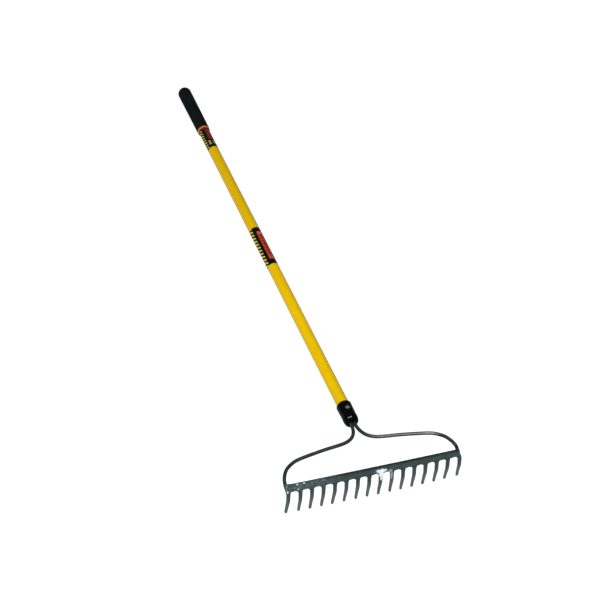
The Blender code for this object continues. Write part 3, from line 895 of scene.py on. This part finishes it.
def ferrule_piece(material):
    bm = bmesh.new()
    bore = HANDLE_RADIUS + 0.00008
    rim = FERRULE_RIM
    outside = [
        (rim - 0.0004, bore), (rim - 0.0001, bore + 0.0004), (rim, bore + 0.0012),
        (rim - 0.0001, FERRULE_RADIUS - 0.0009), (rim - 0.0006, FERRULE_RADIUS - 0.0003),
        (rim - 0.0015, FERRULE_RADIUS - 0.00005), (rim - 0.0030, FERRULE_RADIUS),
        (rim - 0.0042, FERRULE_RADIUS - 0.00005), (rim - 0.0048, FERRULE_RADIUS - 0.00035),
        (rim - 0.0056, FERRULE_RADIUS - 0.0004), (0.2030, FERRULE_RADIUS - 0.0003),
        (0.1970, 0.0180), (0.1900, 0.0178), (0.1850, 0.01765), (0.1800, FERRULE_WAIST),
        (0.1760, FERRULE_WAIST), (0.1720, 0.0177), (0.1690, 0.0178), (0.1650, 0.01765),
        (0.1618, 0.0170), (0.1592, 0.01645), (0.1570, 0.0157), (0.1550, 0.0143),
        (0.1534, 0.0126), (0.1524, 0.0112),
    ]
    rings = []
    for y, radius in outside:
        turns = [math.tau * i / ROUND_SIDES for i in range(ROUND_SIDES)]
        rings.append([bm.verts.new((radius * math.sin(a), y, radius * math.cos(a))) for a in turns])
    slot = ROD_RADIUS + 0.0002
    for y, grow, share in ((0.1520, 0.0018, 0.75), (0.15195, 0.0007, 1.0), (0.1523, 0.0002, 1.0),
                           (0.1530, 0.0, 1.0), (0.1562, 0.0, 1.0)):
        ring = []
        for i in range(ROUND_SIDES):
            angle = math.tau * i / ROUND_SIDES
            x, z = mouth_outline(angle, slot + grow)
            round_x, round_z = 0.0105 * math.sin(angle), 0.0105 * math.cos(angle)
            x, z = x * share + round_x * (1 - share), z * share + round_z * (1 - share)
            ring.append(bm.verts.new((x, y, z)))
        rings.append(ring)
    rings_to_mesh(bm, rings, closed_ends=False)
    mesh = mesh_from("black_ferrule", bm, 55.0)
    return place("black_ferrule", mesh, [material], "ferrule")


def rivet_piece(material):
    """Both heads of the rivet, with undersides that follow the round ferrule."""
    bm = bmesh.new()
    seat = 0.0178
    for up in (1, -1):
        rings = []
        for share, height in ((1.0, -0.2), (1.02, 0.12), (0.97, 0.38), (0.86, 0.62), (0.68, 0.82),
                              (0.45, 0.94), (0.22, 0.985)):
            ring = []
            for k in range(48):
                angle = math.tau * k / 48
                x = RIVET_HEAD_RADIUS * share * math.cos(angle)
                y = RIVET_HEAD_RADIUS * share * math.sin(angle)
                fall = (seat - math.sqrt(seat**2 - x**2)) * max(0.0, 1.0 - height)
                z = seat - fall + RIVET_HEAD_HEIGHT * height
                wobble = 0.00010 * noise.noise(Vector((x, y, up * 0.01)) * 400.0)
                ring.append(bm.verts.new((x, RIVET_Y + y, up * (z + wobble))))
            rings.append(ring)
        rings_to_mesh(bm, rings)
    mesh = mesh_from("rivet_heads", bm, 70.0)
    return place("rivet_heads", mesh, [material], "ferrule_rivet")


# ---------------------------------------------------------------- handle, collar and grip

def tube_piece(material):
    inner, outer = HANDLE_RADIUS - HANDLE_WALL, HANDLE_RADIUS
    stations = 40
    walls = [HANDLE_START + 0.0008 + (HANDLE_END - HANDLE_START - 0.0016) * i / stations
             for i in range(stations + 1)]
    profile = [(HANDLE_START + 0.0006, inner), (HANDLE_START, inner + 0.0006),
               (HANDLE_START, outer - 0.0008)]
    profile += [(y, outer) for y in walls]
    profile += [(HANDLE_END, outer - 0.0008), (HANDLE_END, inner + 0.0006),
                (HANDLE_END - 0.0006, inner)]
    mesh = turned("fibreglass_tube", profile, closed=True)
    return place("fibreglass_tube", mesh, [material], "handle_tube")


def collar_piece(material):
    bore = HANDLE_RADIUS + 0.00022
    y, r = COLLAR_START, COLLAR_RADIUS
    profile = [
        (y + 0.0004, bore), (y, bore + 0.0003), (y, bore + 0.0008), (y + 0.0004, 0.01590),
        (y + 0.0013, 0.01625), (y + 0.0022, 0.01660), (y + 0.0034, 0.01695),
        (y + 0.0048, 0.01720), (y + 0.0060, 0.01732), (y + 0.0070, 0.01738), (y + 0.0084, r),
        (COLLAR_END - 0.0004, r), (COLLAR_END, r - 0.0004), (COLLAR_END, bore),
    ]
    mesh = turned("orange_collar", profile, closed=True)
    return place("orange_collar", mesh, [material], "grip_collar")


def grip_piece(material):
    bore = HANDLE_RADIUS + 0.0001
    start = COLLAR_END + 0.0001
    widest = GRIP_RADIUS - 0.00003
    profile = [
        (HANDLE_END + 0.0002, 0.0002), (HANDLE_END + 0.0002, bore), (start, bore),
        (start, GRIP_MOUTH_RADIUS - 0.0010), (start + 0.0003, GRIP_MOUTH_RADIUS - 0.0004),
        (start + 0.0011, GRIP_MOUTH_RADIUS),
    ]
    steps = 60
    for i in range(1, steps + 1):
        share = i / steps
        y = start + 0.0011 + (GRIP_WIDEST - start - 0.0011) * share
        radius = GRIP_MOUTH_RADIUS + (widest - GRIP_MOUTH_RADIUS) * share ** 1.1
        profile.append((y, radius))
    tip = GRIP_END - 0.00015
    for i in range(1, 15):
        turn = math.pi / 2 * i / 15
        y = GRIP_WIDEST + (tip - GRIP_WIDEST) * math.sin(turn)
        profile.append((y, widest * math.cos(turn) ** 0.62))
    profile.append((tip, 0.0002))
    return place("foam_grip", turned("foam_grip", profile), [material], "end_grip")


# ---------------------------------------------------------------- labels

BLACK, RED, PALE, GLOW, WINE, OLIVE, SLATE = range(7)

# Angles round the handle, in degrees from its top towards its left side.
COMB_INNER = 47.5
COMB_OUTER = 122.0
PANEL_LEFT = 14.0
PANEL_RIGHT = -50.0
FILM_RIGHT = -118.0


# The comb's marks climb round the handle at 45 degrees: this far for each degree of turn.
COMB_CLIMB = math.radians(1.0) * HANDLE_RADIUS
# The first pale gap's middle above the label's lower end, the pitch, and the gaps' share of it.
LOWER_COMB = (0.0143, 0.01347, 0.40)
UPPER_COMB = (0.0082, 0.01166, 0.30)


def comb_gap(angle, y, low, comb):
    """True in the comb's pale gaps on a label from low up. They are placed 60 degrees round."""
    first, pitch, width = comb
    steps = (y - (low + first) - (angle - 60.0) * COMB_CLIMB) / pitch + width / 2
    return steps % 1.0 < width


def lower_print(angle, y):
    """What is printed on the lower label at this angle and place: black, a comb and a red panel."""
    low, high = LOWER_LABEL
    if angle > COMB_INNER:
        return PALE if comb_gap(angle, y, low, LOWER_COMB) else BLACK
    share = (high - 0.0195 - y) / (high - low - 0.0395)
    if PANEL_RIGHT < angle < PANEL_LEFT and 0.0 < share < 1.0:
        return panel_block(share, (PANEL_LEFT - angle) / (PANEL_LEFT - PANEL_RIGHT))
    return BLACK


def panel_block(share, across):
    """Plain blocks down the panel, with darker slots between them and a paler rule at one side."""
    slot = share * 9.0 % 1.0
    if share < 0.11 and 0.12 < across < 0.75:
        return GLOW
    if 0.43 < share < 0.475 and 0.22 < across < 0.5:
        return BLACK
    if 0.88 < share < 0.97 and (0.10 < across < 0.28 or 0.5 < across < 0.7):
        return GLOW
    if 0.12 < across < 0.20 and slot > 0.3:
        return GLOW
    if across > 0.86 or (0.25 < across < 0.7 and slot < 0.30):
        return WINE
    return RED


def upper_print(angle, y):
    """The upper label: a closer comb, a dark red panel, and two dull blocks below it."""
    low, high = UPPER_LABEL
    if angle > COMB_INNER:
        return PALE if comb_gap(angle, y, low, UPPER_COMB) else BLACK
    share = (high - y) / (high - low)
    if -58.0 < angle < 14.0 and 0.04 < share < 0.60 + angle * 0.0006:
        slot = share * 16.0 % 1.0
        return RED if slot < 0.3 and -34.0 < angle < 4.0 else WINE
    if 0.66 < share < 0.87:
        if 6.0 < angle < 26.0:
            return OLIVE
        if -52.0 < angle < -14.0 and share < 0.84:
            return SLATE
    return BLACK


def film_piece(name, ends, printed, materials, node, rows):
    """A thin film wrapped round the handle, its print laid out in small cells."""
    bm = bmesh.new()
    columns = 118
    radius = HANDLE_RADIUS + 0.00012
    inner = HANDLE_RADIUS + 0.00002
    left, right = COMB_OUTER, FILM_RIGHT
    angles = [left + (right - left) * c / columns for c in range(columns + 1)]
    places = [ends[0] + (ends[1] - ends[0]) * r / rows for r in range(rows + 1)]

    def skin(distance):
        grid = []
        for y in places:
            line = []
            for degrees in angles:
                a = math.radians(degrees)
                line.append(bm.verts.new((-distance * math.sin(a), y, distance * math.cos(a))))
            grid.append(line)
        return grid

    outside, inside = skin(radius), skin(inner)
    for r in range(rows):
        for c in range(columns):
            face = bm.faces.new((outside[r][c], outside[r][c + 1],
                                 outside[r + 1][c + 1], outside[r + 1][c]))
            face.material_index = printed((angles[c] + angles[c + 1]) / 2,
                                          (places[r] + places[r + 1]) / 2)
            bm.faces.new((inside[r][c], inside[r + 1][c], inside[r + 1][c + 1], inside[r][c + 1]))
    for r in range(rows):
        for c in (0, columns):
            bm.faces.new((outside[r][c], outside[r + 1][c], inside[r + 1][c], inside[r][c]))
    for c in range(columns):
        for r in (0, rows):
            bm.faces.new((outside[r][c], outside[r][c + 1], inside[r][c + 1], inside[r][c]))
    return place(name, mesh_from(name, bm, 50.0), materials, node)


def dress(node, material):
    """Gives a CAD node that stays in view its material."""
    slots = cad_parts[node].material_slots
    if slots:
        slots[0].material = material
    else:
        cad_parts[node].data.materials.append(material)


def label_materials():
    return [
        film_material("film_black", colour(0.0020, 0.0032, 0.0030),
                      colour(0.0042, 0.0056, 0.0052)),
        film_material("film_red", colour(0.30, 0.028, 0.008), colour(0.19, 0.017, 0.006)),
        film_material("film_pale", colour(0.52, 0.43, 0.030), colour(0.42, 0.34, 0.020)),
        film_material("film_glow", colour(0.42, 0.080, 0.036), colour(0.33, 0.045, 0.018)),
        film_material("film_wine", colour(0.080, 0.007, 0.008), colour(0.052, 0.006, 0.008)),
        film_material("film_olive", colour(0.27, 0.26, 0.060), colour(0.14, 0.14, 0.036)),
        film_material("film_slate", colour(0.125, 0.150, 0.085), colour(0.060, 0.075, 0.045)),
    ]


# ---------------------------------------------------------------- stage

# The camera, in the rake's own layout; angles in degrees.
CAMERA_SPOT = (-1.0605, -2.5020, 2.5993)
CAMERA_AZIMUTH = 19.187
CAMERA_ELEVATION = 38.222
CAMERA_ROLL = 2.035
CAMERA_LENS = 102.0


def camera():
    data = bpy.data.cameras.new("camera")
    data.lens = CAMERA_LENS
    data.sensor_width = 36.0
    data.clip_end = 60.0
    eye = bpy.data.objects.new("camera", data)
    azimuth, elevation = math.radians(CAMERA_AZIMUTH), math.radians(CAMERA_ELEVATION)
    turn = Matrix.Rotation(-azimuth, 4, "Z") @ Matrix.Rotation(math.pi / 2 - elevation, 4, "X")
    eye.matrix_world = (STANCE @ Matrix.Translation(CAMERA_SPOT) @ turn
                        @ Matrix.Rotation(math.radians(CAMERA_ROLL), 4, "Z"))
    bpy.context.scene.collection.objects.link(eye)
    bpy.context.scene.camera = eye


def softbox(name, spot, target, width, height, power):
    data = bpy.data.lights.new(name, "AREA")
    data.shape = "RECTANGLE"
    data.size, data.size_y = width, height
    data.energy = power
    light = bpy.data.objects.new(name, data)
    light.location = spot
    aim = Vector(target) - Vector(spot)
    light.rotation_mode = "QUATERNION"
    light.rotation_quaternion = aim.to_track_quat("-Z", "Y")
    bpy.context.scene.collection.objects.link(light)


def broad_light(name, source, strength):
    """A light as broad as a third of the sky: its shadows are faint, and gloss doesn't show it."""
    data = bpy.data.lights.new(name, "SUN")
    data.energy = strength
    data.angle = math.radians(90.0)
    light = bpy.data.objects.new(name, data)
    light.rotation_mode = "QUATERNION"
    light.rotation_quaternion = Vector(source).to_track_quat("Z", "Y")
    light.visible_glossy = False
    bpy.context.scene.collection.objects.link(light)


def stage():
    bm = bmesh.new()
    bmesh.ops.create_grid(bm, x_segments=8, y_segments=8, size=14.0)
    mesh = mesh_from("floor", bm)
    mesh.materials.append(floor_material())
    ground = bpy.data.objects.new("floor", mesh)
    bpy.context.scene.collection.objects.link(ground)
    ground.location.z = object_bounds()[0].z - 0.0005
    ground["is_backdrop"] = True

    broad_light("sky", (-0.42, -0.50, 0.76), 3.3)
    softbox("key", (0.275, -0.30, 2.6), (0.275, -0.30, 0.0), 0.75, 0.25, 36.0)
    softbox("side", (-1.41, -0.33, 2.24), (0.0, 0.157, 0.0), 0.22, 0.22, 8.0)
    world = bpy.data.worlds.new("studio")
    bpy.context.scene.world = world
    world.use_nodes = True
    world.node_tree.nodes["Background"].inputs["Color"].default_value = (1.0, 1.0, 1.0, 1.0)
    world.node_tree.nodes["Background"].inputs["Strength"].default_value = 0.09
    bpy.context.scene.view_settings.view_transform = "Standard"


# ---------------------------------------------------------------- assembly

def build():
    head_piece(head_material())
    rod, weld = rod_material(), weld_material()
    for label, side in (("left", -1), ("right", 1)):
        rod_name, weld_name = "bow_rod_" + label, "weld_run_" + label
        rod_piece(rod_name, side, rod, "bow_arm_" + label)
        weld_piece(weld_name, side, weld, "weld_bead_" + label)
    ferrule_piece(ferrule_material())
    rivet_piece(rivet_material())
    tube_piece(fibreglass_material())
    grip_piece(foam_material())
    collar_piece(collar_material())
    films = label_materials()
    film_piece("lower_film", LOWER_LABEL, lower_print, films, "lower_label", 260)
    film_piece("upper_film", UPPER_LABEL, upper_print, films, "upper_label", 180)
    dress("tang_plug", nylon_material())
    camera()
    stage()


build()
